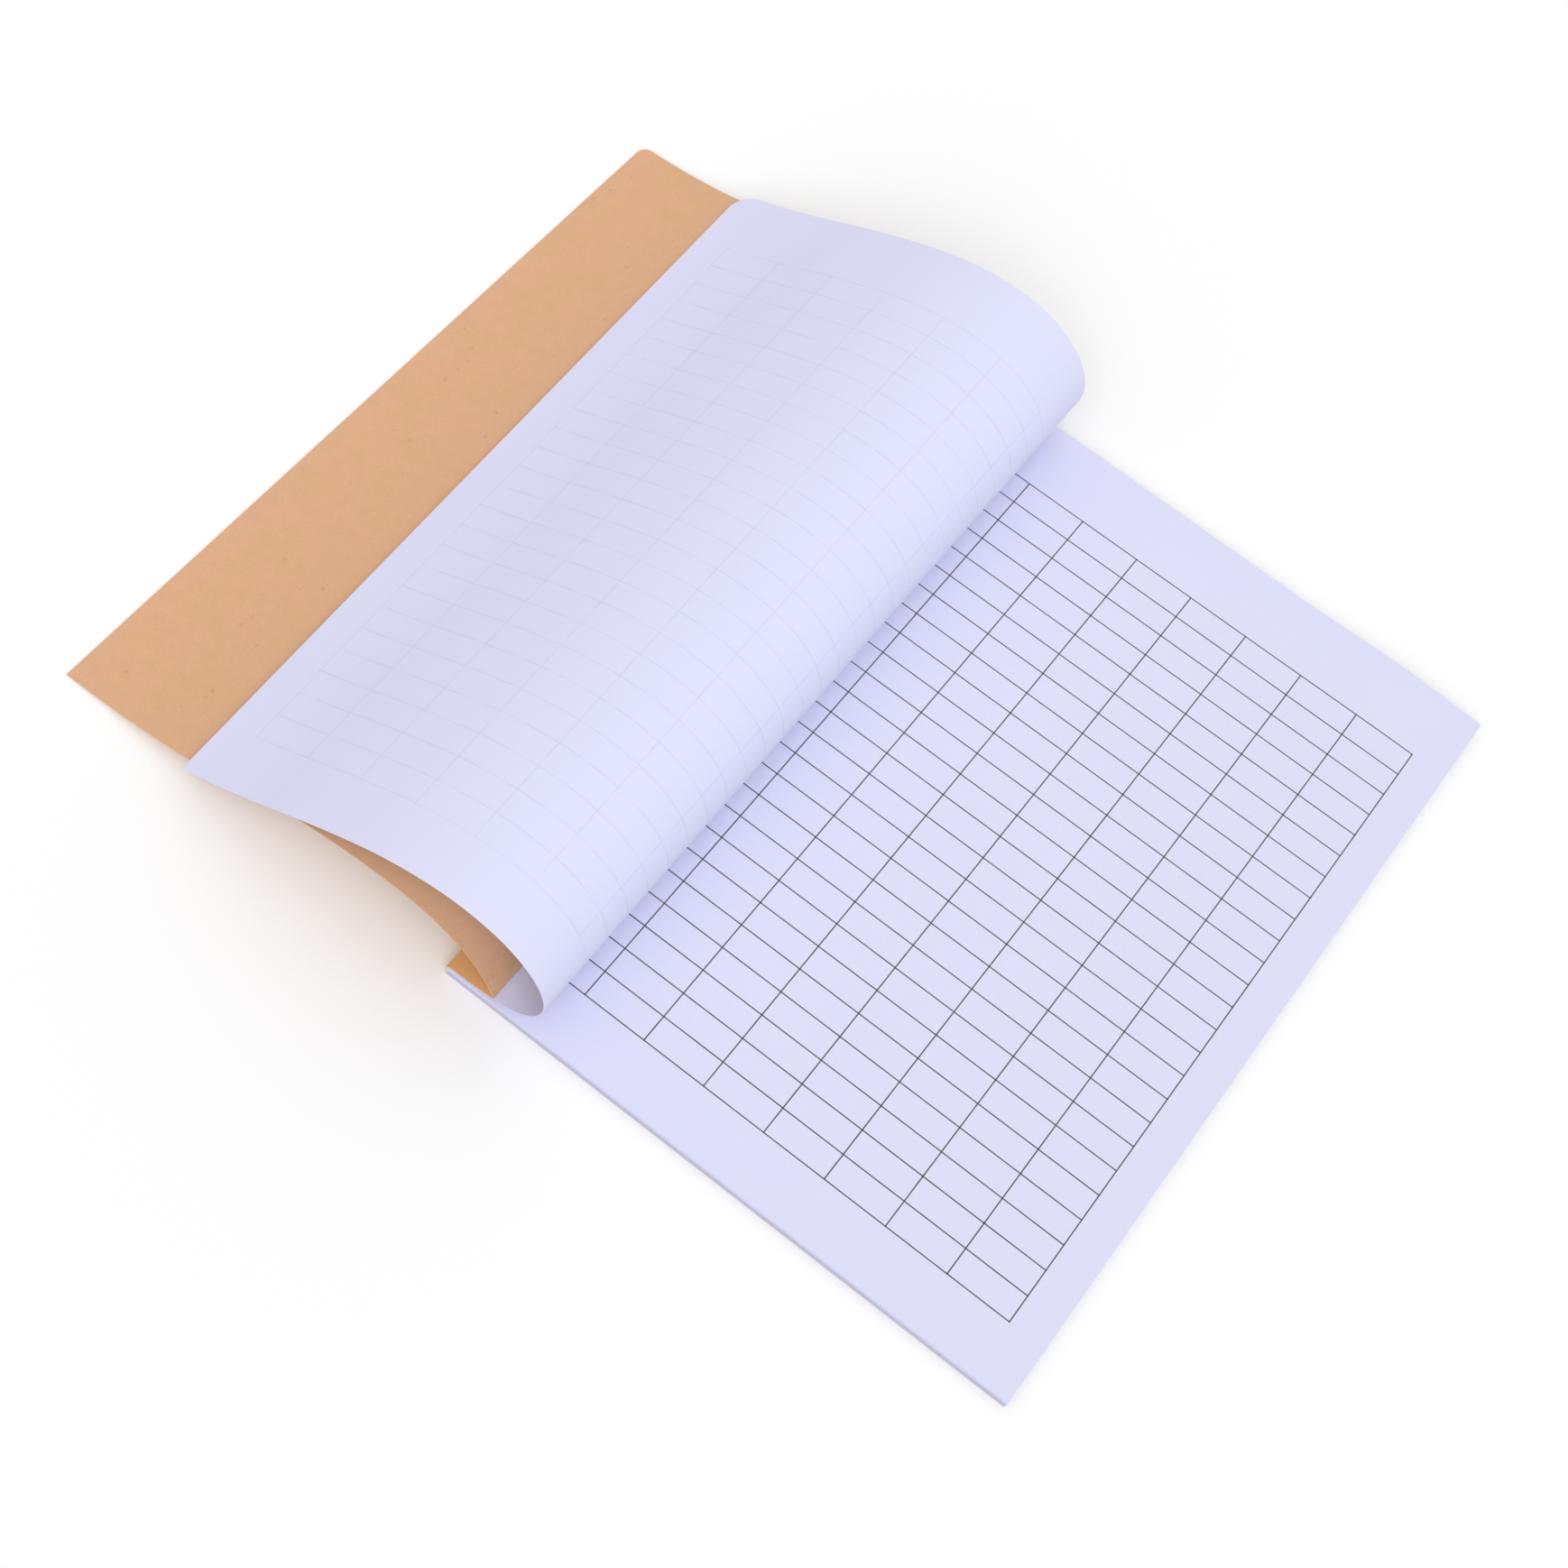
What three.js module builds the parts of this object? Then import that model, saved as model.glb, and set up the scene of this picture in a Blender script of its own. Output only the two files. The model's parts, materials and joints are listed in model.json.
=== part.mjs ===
// A thin side-bound ledger book lying open: a block of ruled leaves in a wrap-round kraft cover.
// The front cover is folded back to the left and the first leaf curls over on top of it.
// Lengths are in millimetres and angles in degrees. X runs from the spine to the fore-edge,
// Y from the near edge to the far edge and Z up. The origin is the centre of the back cover's underside.

import * as THREE from 'three';

// Driving sizes of the sheets
const PAGE_WIDTH = 210;         // A4 sheet, across the spine
const PAGE_HEIGHT = 297;        // A4 sheet, along the spine
const COVER_THICKNESS = 0.3;    // kraft card
const LEAF_THICKNESS = 0.11;    // writing paper
const LEAF_COUNT = 40;          // the first one is turned over, the rest lie flat
const LEAF_AIR = 0.01;          // air between two leaves that lie on each other
const GLUE_THICKNESS = 0.2;     // adhesive along the leaves' spine edges
const BINDING_WIDTH = 18;       // strip of cover and leaf that stays down at the spine
const BINDING_LIFT = 9;         // angle at which the open cover pulls that strip up

// Running clearances
const CONTACT_GAP = 0.02;       // between faces that are glued or pressed together
const FLAP_GAP = 0.05;          // between the first leaf and what lies above and below it
const LEAF_BEND_GAP = 0.15;     // half the gap where the leaf bends
const COVER_BEND_GAP = 0.2;     // half the gap where the cover bends
const FOLD_GAP = 0.4;           // half the gap at the cover's scored fold and at the spine
const PAGE_BEND_SETBACK = 3;    // how far past the binding strip the second leaf bends
const TABLE_GAP = 0.1;          // under the cover's free edge, where it lies on the table
const LEAF_REST_GAP = 0.6;      // under the first leaf's free edge, which rests lightly on the cover

// Lie of the two turned sheets, seen from the near edge: stretch after stretch between two bends,
// each one a run of arcs with a length and the angle the sheet turns through along it.
// Arcs with a share divide what is left of the sheet's width. The one that settles is bent
// until the sheet's free edge lies on what carries it; its turn here is where that starts from.
const COVER_FOLD = 102.5;       // angle from the binding strip to the cover, folded back at its score
const COVER_STRETCHES = [
  [{ length: 12, turn: 16 }, { length: 16, turn: 25.5 }],
  [{ length: 22, turn: 28 }],
  [{ length: 34, turn: 13.5 }],
  [{ share: 34, turn: 13.5, settles: true }, { share: 34, turn: -15 }, { share: 40, turn: -13 }],
];
const LEAF_STRETCHES = [
  [{ length: 10, turn: 27.5 }, { length: 11, turn: 32.5 }],
  [{ length: 12, turn: 35.5 }, { length: 14, turn: 32 }],
  [{ length: 16, turn: 28 }, { length: 20, turn: 22.5 }],
  [{ share: 30, turn: 17.5, settles: true }, { share: 38, turn: 6 }, { share: 41, turn: -7 }],
];
const FACET_TURN = 4;           // a curved face has a facet for about this much turn
const SETTLE_REACH = 40;        // how far to either side a settling arc's turn is looked for
const SETTLE_STEPS = 50;        // halvings of that search

// Sizes that follow
const LEAF_PITCH = LEAF_THICKNESS + LEAF_AIR;
const LEAF_INNER_X = COVER_THICKNESS + GLUE_THICKNESS + CONTACT_GAP;
const BLOCK_BOTTOM = COVER_THICKNESS + CONTACT_GAP;
const BLOCK_TOP = BLOCK_BOTTOM + (LEAF_COUNT - 1) * LEAF_PITCH - LEAF_AIR;
const SPINE_X = COVER_THICKNESS / 2;
const SPINE_Z = BLOCK_TOP + 2 * FLAP_GAP + LEAF_THICKNESS + COVER_THICKNESS / 2;
const FLAP_LEAF_DROP = COVER_THICKNESS / 2 + FLAP_GAP + LEAF_THICKNESS / 2;
const TURNED_WIDTH = PAGE_WIDTH - BINDING_WIDTH;

const radians = THREE.MathUtils.degToRad;

// Finishes
function finish(color, roughness) {
  return new THREE.MeshStandardMaterial({ color, roughness, metalness: 0 });
}
const paper = finish(0xe4e4f2, 0.82);
const kraft = finish(0xd9ab7c, 0.85);
const glue = finish(0xe8e2cf, 0.5);

// A shape drawn in X and Z becomes a sheet that runs the whole height of the page along Y
function alongSpine(shape, curveSegments = 1) {
  const geometry = new THREE.ExtrudeGeometry(shape, {
    depth: PAGE_HEIGHT,
    bevelEnabled: false,
    curveSegments,
  });
  geometry.rotateX(Math.PI / 2);
  geometry.translate(0, PAGE_HEIGHT, 0);
  return geometry;
}

function polygon(points) {
  return new THREE.Shape(points.map(([x, z]) => new THREE.Vector2(x, z)));
}

function named(name, geometry, material) {
  const mesh = new THREE.Mesh(geometry, material);
  mesh.name = name;
  return mesh;
}

// A flat sheet from x1 to x2 whose underside is at z
function flatSheet(name, x1, x2, z, thickness, material) {
  const section = polygon([[x1, z], [x2, z], [x2, z + thickness], [x1, z + thickness]]);
  return named(name, alongSpine(section), material);
}

// Where an arc of sheet ends when it starts at a place and angle, and the centre it turns about
function arcFrom(place, { length, turn }) {
  const curvature = radians(turn) / length;
  const angle = place.angle + radians(turn);
  const centre = {
    x: place.x - Math.sin(place.angle) / curvature,
    z: place.z + Math.cos(place.angle) / curvature,
  };
  const end = {
    x: centre.x + Math.sin(angle) / curvature,
    z: centre.z - Math.cos(angle) / curvature,
    angle,
  };
  return { centre, end, curvature, from: place.angle, to: angle };
}

// Shares become lengths: they divide what the fixed lengths leave of the sheet's width
function measured(stretches, width) {
  const arcs = stretches.flat();
  const fixed = arcs.reduce((sum, arc) => sum + (arc.length ?? 0), 0);
  const shares = arcs.reduce((sum, arc) => sum + (arc.share ?? 0), 0);
  const lengthOf = (arc) => arc.length ?? (arc.share / shares) * (width - fixed);
  return stretches.map((stretch) => stretch.map((arc) => ({ ...arc, length: lengthOf(arc) })));
}

// Points along a sheet's centre line, a few on every arc
function centreLine(start, stretches, pointsPerArc = 12) {
  const points = [{ ...start }];
  let place = start;
  for (const arc of stretches.flat()) {
    for (let step = 1; step <= pointsPerArc; step += 1) {
      const part = step / pointsPerArc;
      points.push(arcFrom(place, { length: arc.length * part, turn: arc.turn * part }).end);
    }
    place = points.at(-1);
  }
  return points;
}

// Height of a centre line above a place, on the side of the free edge
function heightAt(points, x) {
  for (let index = points.length - 1; index > 0; index -= 1) {
    const [a, b] = [points[index], points[index - 1]];
    if (a.x <= x && x <= b.x) return a.z + ((x - a.x) / (b.x - a.x)) * (b.z - a.z);
  }
  return points.at(-1).z;
}

// Bends the settling arc until the free edge is as high as it should be
function settled(start, stretches, heightOver) {
  const withTurn = (change) => stretches.map((stretch) => stretch.map((arc) => (
    arc.settles ? { ...arc, turn: arc.turn + change } : arc)));
  let low = -SETTLE_REACH;
  let high = SETTLE_REACH;
  for (let step = 0; step < SETTLE_STEPS; step += 1) {
    const middle = (low + high) / 2;
    const edge = centreLine(start, withTurn(middle)).at(-1);
    if (heightOver(edge) > 0) low = middle;
    else high = middle;
  }
  return withTurn((low + high) / 2);
}

// Section of a sheet along a run of arcs: out along its lower face and back along its upper one.
// A straight lead may come first; gaps are left at both ends where it bends to its neighbours.
function stretchSection(stretch, thickness, gaps, lead) {
  const half = thickness / 2;
  const trimmed = stretch.map((arc, index) => {
    const atStart = index === 0 && lead === 0 ? gaps.start : 0;
    const atEnd = index === stretch.length - 1 ? gaps.end : 0;
    const perLength = arc.turn / arc.length;
    const length = arc.length - atStart - atEnd;
    return { length, turn: perLength * length, skip: atStart, skipTurn: perLength * atStart };
  });
  let place = { x: 0, z: 0, angle: 0 };
  const runs = [];
  for (const arc of trimmed) {
    if (arc.skip > 0) place = arcFrom(place, { length: arc.skip, turn: arc.skipTurn }).end;
    runs.push(arcFrom(place, arc));
    place = runs.at(-1).end;
  }
  const section = new THREE.Shape();
  if (lead > 0) section.moveTo(-lead, -half);
  for (const run of runs) {
    const side = Math.sign(run.curvature);
    const radius = Math.abs(1 / run.curvature + half);
    const quarter = (side * Math.PI) / 2;
    section.absarc(run.centre.x, run.centre.z, radius, run.from - quarter, run.to - quarter, side < 0);
  }
  for (const run of [...runs].reverse()) {
    const side = Math.sign(run.curvature);
    const radius = Math.abs(1 / run.curvature - half);
    const quarter = (side * Math.PI) / 2;
    section.absarc(run.centre.x, run.centre.z, radius, run.to - quarter, run.from - quarter, side > 0);
  }
  if (lead > 0) section.lineTo(-lead, half);
  section.closePath();
  return section;
}

function bentSheet(name, stretch, thickness, gaps, lead, material) {
  const sharpest = Math.max(...stretch.map((arc) => Math.abs(arc.turn)));
  const facets = Math.max(2, Math.ceil(sharpest / FACET_TURN));
  return named(name, alongSpine(stretchSection(stretch, thickness, gaps, lead), facets), material);
}

// A group at a place, turned from +X towards +Z
function turned(x, z, angle) {
  const group = new THREE.Group();
  group.position.set(x, 0, z);
  group.rotation.y = -angle;
  return group;
}

// A turned sheet: each stretch hangs on the end of the one before it
function turnedSheet(start, stretches, style) {
  const root = turned(start.x, start.z, start.angle);
  let holder = root;
  stretches.forEach((stretch, index) => {
    const first = index === 0;
    const last = index === stretches.length - 1;
    const gaps = { start: first ? style.foldGap : style.bendGap, end: last ? 0 : style.bendGap };
    const lead = first ? style.lead : 0;
    holder.add(bentSheet(`${style.name}_${index + 1}`, stretch, style.thickness, gaps, lead,
      style.material));
    const tip = stretch.reduce((place, arc) => arcFrom(place, arc).end, { x: 0, z: 0, angle: 0 });
    const next = turned(tip.x, tip.z, tip.angle);
    if (!last) holder.add(next);
    holder = next;
  });
  return root;
}

// Back cover and spine: one folded card, an L in section
function backCover() {
  const top = SPINE_Z - FOLD_GAP;
  const section = polygon([
    [0, 0],
    [PAGE_WIDTH, 0],
    [PAGE_WIDTH, COVER_THICKNESS],
    [COVER_THICKNESS, COVER_THICKNESS],
    [COVER_THICKNESS, top],
    [0, top],
  ]);
  return named('back_cover', alongSpine(section), kraft);
}

// Adhesive between the spine and the leaves' edges
function spineGlue() {
  const x1 = COVER_THICKNESS + CONTACT_GAP / 2;
  const x2 = LEAF_INNER_X - CONTACT_GAP / 2;
  return flatSheet('spine_glue', x1, x2, BLOCK_BOTTOM, BLOCK_TOP - BLOCK_BOTTOM, glue);
}

// The leaves that lie flat, numbered from the top; the first of them lifts past the binding strip
function leafBlock() {
  const block = new THREE.Group();
  for (let number = 2; number <= LEAF_COUNT; number += 1) {
    const z = BLOCK_BOTTOM + (LEAF_COUNT - number) * LEAF_PITCH;
    const name = `leaf_${String(number).padStart(2, '0')}`;
    if (number === 2) {
      const bend = BINDING_WIDTH + PAGE_BEND_SETBACK;
      block.add(flatSheet(`${name}_margin`, LEAF_INNER_X, bend - LEAF_BEND_GAP, z, LEAF_THICKNESS,
        paper));
      block.add(flatSheet(`${name}_page`, bend + LEAF_BEND_GAP, PAGE_WIDTH, z, LEAF_THICKNESS,
        paper));
    } else {
      block.add(flatSheet(name, LEAF_INNER_X, PAGE_WIDTH, z, LEAF_THICKNESS, paper));
    }
  }
  return block;
}

// A place on the lifted binding strip, as far out from the spine and as far below its middle
function onStrip(out, drop) {
  const lift = radians(BINDING_LIFT);
  return {
    x: SPINE_X + out * Math.cos(lift) + drop * Math.sin(lift),
    z: SPINE_Z + out * Math.sin(lift) - drop * Math.cos(lift),
    angle: lift,
  };
}

// Binding strip of the cover with the first leaf's margin under it, hinged at the spine,
// and the two sheets that turn back from it
function turnedPart() {
  const part = new THREE.Group();
  const strip = turned(SPINE_X, SPINE_Z, radians(BINDING_LIFT));
  strip.add(flatSheet('cover_binding_strip', FOLD_GAP, BINDING_WIDTH - FOLD_GAP,
    -COVER_THICKNESS / 2, COVER_THICKNESS, kraft));
  part.add(strip);

  const score = onStrip(BINDING_WIDTH, 0);
  const coverStart = { ...score, angle: score.angle + radians(COVER_FOLD) };
  const cover = settled(coverStart, measured(COVER_STRETCHES, TURNED_WIDTH),
    (edge) => edge.z - COVER_THICKNESS / 2 - TABLE_GAP);
  part.add(turnedSheet(coverStart, cover, {
    name: 'front_cover',
    thickness: COVER_THICKNESS,
    foldGap: FOLD_GAP,
    bendGap: COVER_BEND_GAP,
    lead: 0,
    material: kraft,
  }));

  const leafStart = onStrip(BINDING_WIDTH, FLAP_LEAF_DROP);
  const coverLine = centreLine(coverStart, cover);
  const restHeight = (COVER_THICKNESS + LEAF_THICKNESS) / 2 + LEAF_REST_GAP;
  const leaf = settled(leafStart, measured(LEAF_STRETCHES, TURNED_WIDTH),
    (edge) => edge.z - heightAt(coverLine, edge.x) - restHeight);
  part.add(turnedSheet(leafStart, leaf, {
    name: 'leaf_01',
    thickness: LEAF_THICKNESS,
    foldGap: 0,
    bendGap: LEAF_BEND_GAP,
    lead: BINDING_WIDTH - LEAF_INNER_X,
    material: paper,
  }));
  return part;
}

const book = new THREE.Group();
book.position.set(-PAGE_WIDTH / 2, -PAGE_HEIGHT / 2, 0);
book.add(backCover(), spineGlue(), leafBlock(), turnedPart());

const ledger = new THREE.Group();
ledger.add(book);

export default ledger;
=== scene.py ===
"""A thin ledger book lying open, with its kraft cover folded back and its first leaf curled over.

Lengths are in metres and angles in radians, unless a name or a comment gives another unit.
X runs from the spine to the fore-edge, Y from the near edge to the far edge and Z up.
"""

import json
import math

import bpy
import numpy as np
from bpy.props import FloatProperty, FloatVectorProperty, IntProperty, PointerProperty
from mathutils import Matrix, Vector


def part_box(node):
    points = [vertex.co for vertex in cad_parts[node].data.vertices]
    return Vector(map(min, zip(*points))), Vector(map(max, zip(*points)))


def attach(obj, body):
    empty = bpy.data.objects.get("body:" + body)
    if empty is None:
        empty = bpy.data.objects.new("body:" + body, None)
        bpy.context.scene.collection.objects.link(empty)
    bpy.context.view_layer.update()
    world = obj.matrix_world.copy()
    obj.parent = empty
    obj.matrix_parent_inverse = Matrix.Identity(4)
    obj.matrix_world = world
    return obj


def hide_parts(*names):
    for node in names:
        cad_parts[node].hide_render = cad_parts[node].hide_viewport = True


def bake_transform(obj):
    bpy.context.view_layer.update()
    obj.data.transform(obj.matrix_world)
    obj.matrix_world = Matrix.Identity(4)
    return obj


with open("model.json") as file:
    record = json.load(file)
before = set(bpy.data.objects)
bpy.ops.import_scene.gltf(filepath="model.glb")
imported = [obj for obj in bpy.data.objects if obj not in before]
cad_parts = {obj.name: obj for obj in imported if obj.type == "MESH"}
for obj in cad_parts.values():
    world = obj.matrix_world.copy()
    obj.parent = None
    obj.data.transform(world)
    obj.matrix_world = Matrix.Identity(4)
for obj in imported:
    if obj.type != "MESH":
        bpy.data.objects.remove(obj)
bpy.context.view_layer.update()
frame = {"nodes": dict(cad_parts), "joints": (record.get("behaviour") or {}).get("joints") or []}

bl_info = {
    "name": "Ledger Book",
    "version": (1, 0, 0),
    "blender": (4, 5, 0),
    "location": "3D View > Sidebar > Ledger",
    "description": "Makes the sheets of an open ledger book, their finishes and a plain stage",
    "category": "Object",
}

MILLIMETRE = 0.001
SEED = 7

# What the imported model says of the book
BACK_LOW, BACK_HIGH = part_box("back_cover")
PAGE_LOW, PAGE_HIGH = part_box("leaf_02_page")
MARGIN_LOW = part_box("leaf_02_margin")[0]
FREE_COVER_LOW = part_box("front_cover_4")[0]
FREE_LEAF_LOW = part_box("leaf_01_4")[0]
FLAT_LEAVES = sorted(name for name in frame["nodes"]
                     if name.startswith("leaf_") and name.count("_") == 1)
HINGES = {joint["name"]: joint["pos_m"] for joint in frame["joints"]}

# Lie of the two turned sheets, arc after arc: length in millimetres and turn in degrees. The arcs
# of a tail share what is left of the sheet, and its first one is bent until the free edge lies
# where it should. The bends are how far from the score a sheet is hinged, in millimetres.
COVER_ARCS = ((12, 16), (16, 25.5), (22, 28), (34, 13.5))
COVER_TAIL = ((34, 13.5), (34, -15), (40, -13))
COVER_BENDS = (28, 50, 84)
LEAF_ARCS = ((10, 27.5), (11, 32.5), (12, 35.5), (14, 32), (16, 28), (20, 22.5))
LEAF_TAIL = ((30, 17.5), (38, 6), (41, -7))
LEAF_BENDS = (21, 47, 83)

# How far that arc may be bent either way, in radians, and in how many halvings it is found
SETTLING = math.radians(40)
HALVINGS = 50

# How finely the meshes are cut. Along a turned sheet: the longest step in metres and the sharpest
# in radians. Across it: places on the plain side and by the worn corners, and how far the latter
# reach in corner radii. Along the page: places at its margin, over its bend and on its free part.
COVER_STEPS = (0.0015, math.radians(8))
LEAF_STEPS = (0.0012, math.radians(1.5))
PLAIN_PLACES = 66
CORNER_PLACES = 13
CORNER_PART = 1.25
PAGE_PLACES = (8, 25, 60)

# Stretches of a sheet's line shorter than this get no step of their own, in metres
SHORTEST = 1e-9

# How late along a sheet its mesh is drawn in to the rounded corners, as a power
GATHER = 12

# The turned sheets' gentle waves: how many cross, the most radians that they run through in a
# metre, and the most radians that they start from
WAVES = 5
WAVE_PITCH = 22
WAVE_PHASE = 6

# Shares of the free cover over which its sag starts at the score and ends at the free edge
SAG_SHARES = (0.25, 0.5)

# Spread of the stacked leaves' edges, in metres
CUT_SPREAD = 0.00009

# How far either side of its hinge the page's mesh is cut more finely, in metres
PAGE_REACH = 0.006

# Stretches over which the page's far edge rises from its fore corner, falls again towards the
# spine, and comes down from the edge, in metres
RISE_REACHES = (0.028, 0.047, 0.035)

# Stretch of card over which the back cover's inset fades, in metres
INSET_FADE = 0.010

# How a ruled line shows, printed and from the back: the most that it covers of the paper, how far
# its edges fade in millimetres, and the share of it that stays where it is weakest
PRINTED = (0.9, 0.05, 0.94)
SEEN_THROUGH = (0.6, 0.28, 0.4)

# Heights between which the leaves' cut edges turn grey with painted shade, in metres, downwards
EDGE_PAINTED_SHADE = (0.0038, 0.0026)

# How mirror-like the finishes are, and the colour of the floor and of the room's light
SPECULAR = 0.25
WHITE = (1.0, 1.0, 1.0, 1.0)

# Half the floor's side and how far it lies under the book, in metres
FLOOR_HALF = 4.0
FLOOR_GAP = 0.00002


class LedgerSizes(bpy.types.PropertyGroup):
    """Sizes of the sheets and of the ruling printed on them. Pairs are near and far."""

    page_width: FloatProperty(
        name="Page width", description="Sheet size across the spine",
        default=BACK_HIGH.x - BACK_LOW.x, unit="LENGTH", precision=4)
    page_height: FloatProperty(
        name="Page height", description="Sheet size along the spine",
        default=BACK_HIGH.y - BACK_LOW.y, unit="LENGTH", precision=4)
    cover_thickness: FloatProperty(
        name="Cover thickness", description="Thickness of the kraft card",
        default=0.0003, unit="LENGTH", precision=5)
    leaf_thickness: FloatProperty(
        name="Leaf thickness", description="Thickness of the writing paper",
        default=0.00011, unit="LENGTH", precision=5)
    binding_width: FloatProperty(
        name="Binding width", description="Strip of cover and first leaf that stays at the spine",
        default=0.018, unit="LENGTH", precision=4)
    binding_lift: FloatProperty(
        name="Binding lift", description="Angle at which the open cover pulls that strip up",
        default=math.radians(9), unit="ROTATION")
    cover_fold: FloatProperty(
        name="Cover fold", description="Angle from the strip to the folded-back cover at its score",
        default=math.radians(102.5), unit="ROTATION")
    leaf_drop: FloatProperty(
        name="Leaf drop", description="How far the first leaf lies below the strip's middle",
        default=0.000255, unit="LENGTH", precision=6)
    fold_radius: FloatProperty(
        name="Fold radius", description="Radius of the card's middle in its scored folds",
        default=0.00035, unit="LENGTH", precision=5)
    row_pitch: FloatProperty(
        name="Row pitch", description="Distance between two printed rows",
        default=0.010, unit="LENGTH", precision=4)
    column_pitch: FloatProperty(
        name="Column pitch", description="Distance between two printed columns",
        default=0.02276, unit="LENGTH", precision=5)
    rows: IntProperty(name="Rows", description="How many rows the ruling has", default=25)
    near_border: FloatProperty(
        name="Near border", description="From the near edge to the ruling",
        default=0.0202, unit="LENGTH", precision=4)
    fore_border: FloatProperty(
        name="Fore border", description="From the fore-edge to the ruling",
        default=0.0131, unit="LENGTH", precision=5)
    spine_border: FloatProperty(
        name="Spine border", description="From the spine to the ruling",
        default=0.025, unit="LENGTH", precision=4)
    line_width: FloatProperty(
        name="Line width", description="Width of a printed line",
        default=0.00045, unit="LENGTH", precision=5)
    cover_slide: FloatVectorProperty(
        name="Cover slide", description="How far the cover's free edge lies past the solid's",
        size=2, unit="LENGTH", precision=4, default=(-0.0042, -0.0056))
    leaf_slide: FloatVectorProperty(
        name="Leaf slide", description="How far the first leaf's free edge lies past the solid's",
        size=2, unit="LENGTH", precision=4, default=(-0.0046, 0.0056))
    cover_overhang: FloatVectorProperty(
        name="Cover overhang", description="How far the cover's free corners hang out",
        size=2, unit="LENGTH", precision=4, default=(-0.001, 0.0))
    leaf_overhang: FloatVectorProperty(
        name="Leaf overhang", description="How far the first leaf's free corners hang out",
        size=2, unit="LENGTH", precision=4, default=(0.0040, 0.0022))
    cover_sag: FloatProperty(
        name="Cover sag", description="How far the open cover's arch hangs out on its outer side",
        default=0.0013, unit="LENGTH", precision=4)
    back_inset: FloatProperty(
        name="Back inset", description="How far the back cover keeps inside the leaves' edges",
        default=0.0004, unit="LENGTH", precision=5)
    cover_corner: FloatProperty(
        name="Cover corner", description="Radius of the cover's worn far corner",
        default=0.004, unit="LENGTH", precision=4)
    leaf_corner: FloatProperty(
        name="Leaf corner", description="Radius of the first leaf's worn far corner",
        default=0.008, unit="LENGTH", precision=4)
    page_rise: FloatProperty(
        name="Page rise", description="How far the page's far edge stands up by its fore corner",
        default=0.0012, unit="LENGTH", precision=4)
    unevenness: FloatProperty(
        name="Unevenness", description="Height of the gentle waves that both turned sheets share",
        default=0.00025, unit="LENGTH", precision=5)


class LedgerColours(bpy.types.PropertyGroup):
    """Colours of the paper, the card, the ink and the adhesive."""

    paper: FloatVectorProperty(
        name="Paper", description="Writing paper", subtype="COLOR", min=0, max=1,
        default=(0.727, 0.73, 0.93))
    # The back: the paper's colour made lighter and bluer as painted light, for light shining
    # through the thin sheet
    paper_back: FloatVectorProperty(
        name="Paper back", description="Back of the leaves, lit through the sheet", subtype="COLOR",
        min=0, max=1, default=(0.76, 0.765, 0.975))
    show_through: FloatVectorProperty(
        name="Show-through", description="The ruling seen from the back", subtype="COLOR", min=0,
        max=1, default=(0.62, 0.63, 0.85))
    # Grey of the lowest leaves' cut edges: painted shade, for the lesser light that reaches them by
    # the table
    paper_edge_painted_shade: FloatVectorProperty(
        name="Paper edge", description="Cut edges of the lowest leaves", subtype="COLOR", min=0,
        max=1, default=(0.50, 0.49, 0.52))
    kraft_inside: FloatVectorProperty(
        name="Kraft inside", description="Inner face of the card", subtype="COLOR", min=0, max=1,
        default=(0.73, 0.43, 0.25))
    # The outer face: the card's own warmer tone, partly made lighter as painted light for the
    # brightly lit binding strip
    kraft_outside: FloatVectorProperty(
        name="Kraft outside", description="Outer face of the card", subtype="COLOR", min=0, max=1,
        default=(0.77, 0.435, 0.20))
    ink: FloatVectorProperty(
        name="Ink", description="Printed ruling", subtype="COLOR", min=0, max=1,
        default=(0.032, 0.028, 0.008))
    adhesive: FloatVectorProperty(
        name="Adhesive", description="Dried binding adhesive", subtype="COLOR", min=0, max=1,
        default=(0.80, 0.74, 0.60))


class LedgerStage(bpy.types.PropertyGroup):
    """Camera and light."""

    camera_place: FloatVectorProperty(
        name="Camera place", description="Where the camera stands", subtype="TRANSLATION",
        unit="LENGTH", default=(0.0549121, -0.4102670, 0.7322088))
    camera_turn: FloatVectorProperty(
        name="Camera turn", description="Which way the camera is turned", subtype="EULER",
        unit="ROTATION",
        default=(math.radians(26.965095), math.radians(-9.279356), math.radians(36.637325)))
    lens: FloatProperty(
        name="Lens", description="Focal length in millimetres", unit="CAMERA", default=59.48986)
    shift_x: FloatProperty(
        name="Shift X", description="Sideways shift of the frame", default=0.0258919)
    fill: FloatProperty(
        name="Fill", description="The room's light on a level surface, 1 shows its own colour",
        default=0.72)
    overhead: FloatProperty(
        name="Overhead", description="How much brighter that light is overhead than at the horizon",
        default=1.15)
    lamp: FloatProperty(
        name="Lamp", description="Light of the lamp on a level surface, in the same measure",
        default=0.28)
    lamp_height: FloatProperty(
        name="Lamp height", description="Angle of the lamp above the floor",
        default=math.radians(48), unit="ROTATION")
    lamp_heading: FloatProperty(
        name="Lamp heading", description="Direction that the lamp stands in, turned from X to Y",
        default=math.radians(-60), unit="ROTATION")
    lamp_spread: FloatProperty(
        name="Lamp spread", description="Angle that the soft lamp fills",
        default=math.radians(55), unit="ROTATION")


# Sheets as centre lines and surfaces


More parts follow.
